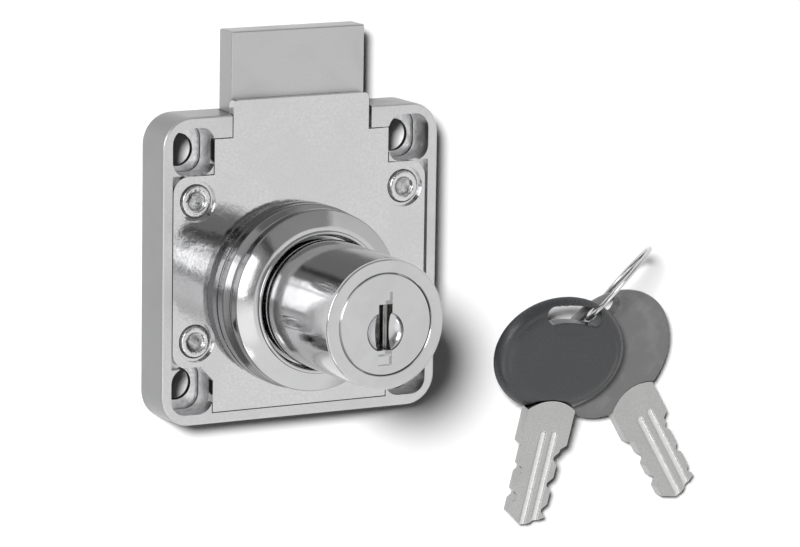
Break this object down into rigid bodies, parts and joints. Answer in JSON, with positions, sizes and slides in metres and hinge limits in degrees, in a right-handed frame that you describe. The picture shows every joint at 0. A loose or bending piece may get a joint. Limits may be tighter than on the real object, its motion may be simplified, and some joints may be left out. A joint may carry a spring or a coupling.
{
  "type": "drawer lock",
  "caption": "Square surface-mounted drawer lock with a sliding bolt, a wafer cylinder, a trim ring and keys with moulded bows on a wire ring.",
  "frame": {"origin": "middle of the case's back face, which lies against the surface the lock rests on", "axes": "+Z along the cylinder towards the key, +Y the way the bolt is thrown, +X to the right seen from the key's side"},
  "size_m": [0.0838, 0.0698, 0.0287],
  "materials": {
    "satin_chrome": "satin chrome plate on die-cast zinc",
    "plate_steel": "chrome-plated steel sheet with a fine grain",
    "bright_chrome": "mirror chrome plate",
    "cam_zinc": "plain die-cast zinc",
    "screw_steel": "zinc-plated steel",
    "wafer_nickel": "stamped nickel silver",
    "spring_wire": "spring steel wire",
    "ring_wire": "nickel-plated wire",
    "key_nickel": "nickel-plated key blank with cut notches",
    "bow_plastic": "black moulded plastic, satin"
  },
  "bodies": {
    "lock_body": {"case": "satin_chrome", "cover_plate": "plate_steel", "cover_rivets": "plate_steel", "cylinder_housing": "bright_chrome"},
    "bolt": {"bolt": "satin_chrome"},
    "plug": {"plug": "bright_chrome", "drive_cam": "cam_zinc", "cam_screw": "screw_steel", "wafer_spring_1": "spring_wire", "wafer_spring_2": "spring_wire", "wafer_spring_3": "spring_wire", "wafer_spring_4": "spring_wire", "wafer_spring_5": "spring_wire"},
    "wafer_1": {"wafer_1": "wafer_nickel"},
    "wafer_2": {"wafer_2": "wafer_nickel"},
    "wafer_3": {"wafer_3": "wafer_nickel"},
    "wafer_4": {"wafer_4": "wafer_nickel"},
    "wafer_5": {"wafer_5": "wafer_nickel"},
    "trim_ring": {"trim_ring": "bright_chrome"},
    "rear_key": {"rear_key_blade": "key_nickel", "rear_key_bow": "bow_plastic"},
    "key_ring": {"key_ring": "ring_wire"},
    "front_key": {"front_key_blade": "key_nickel", "front_key_bow": "bow_plastic"}
  },
  "joints": [
    {"name": "plug_turn", "type": "hinge", "parent": "lock_body", "child": "plug", "pos_m": [0, -0.0041, 0], "axis": [0, 0, 1], "range_deg": [0, 180]},
    {"name": "bolt_slide", "type": "slide", "parent": "lock_body", "child": "bolt", "axis": [0, -1, 0], "range_m": [0, 0.009]},
    {"name": "wafer_1_slide", "type": "slide", "parent": "plug", "child": "wafer_1", "axis": [0, 1, 0], "range_m": [0, 0.0007], "deforming": ["wafer_spring_1"]},
    {"name": "wafer_2_slide", "type": "slide", "parent": "plug", "child": "wafer_2", "axis": [0, -1, 0], "range_m": [0, 0.0007], "deforming": ["wafer_spring_2"]},
    {"name": "wafer_3_slide", "type": "slide", "parent": "plug", "child": "wafer_3", "axis": [0, 1, 0], "range_m": [0, 0.0007], "deforming": ["wafer_spring_3"]},
    {"name": "wafer_4_slide", "type": "slide", "parent": "plug", "child": "wafer_4", "axis": [0, -1, 0], "range_m": [0, 0.0007], "deforming": ["wafer_spring_4"]},
    {"name": "wafer_5_slide", "type": "slide", "parent": "plug", "child": "wafer_5", "axis": [0, 1, 0], "range_m": [0, 0.0007], "deforming": ["wafer_spring_5"]},
    {"name": "trim_ring_slide", "type": "slide", "parent": "lock_body", "child": "trim_ring", "axis": [0, 0, 1], "range_m": [0, 0.024]},
    {"name": "keys_lift", "type": "slide", "parent": "lock_body", "child": "rear_key", "axis": [0, 0, 1], "range_m": [0, 0.04]},
    {"name": "key_ring_spin", "type": "hinge", "parent": "rear_key", "child": "key_ring", "pos_m": [0.04834, -0.00632, 0.00606], "axis": [0.6185, -0.6461, 0.4471], "continuous": true},
    {"name": "front_key_swing", "type": "hinge", "parent": "rear_key", "child": "front_key", "pos_m": [0.04834, -0.00632, 0.00606], "axis": [-0.6185, 0.6461, -0.4471], "range_deg": [0, 150]}
  ],
  "couplings": [
    {"joint": "bolt_slide", "follows": "plug_turn", "m_per_rad": 0.0028647},
    {"joint": "wafer_2_slide", "follows": "wafer_1_slide", "ratio": 1},
    {"joint": "wafer_3_slide", "follows": "wafer_1_slide", "ratio": 1},
    {"joint": "wafer_4_slide", "follows": "wafer_1_slide", "ratio": 1},
    {"joint": "wafer_5_slide", "follows": "wafer_1_slide", "ratio": 1}
  ]
}
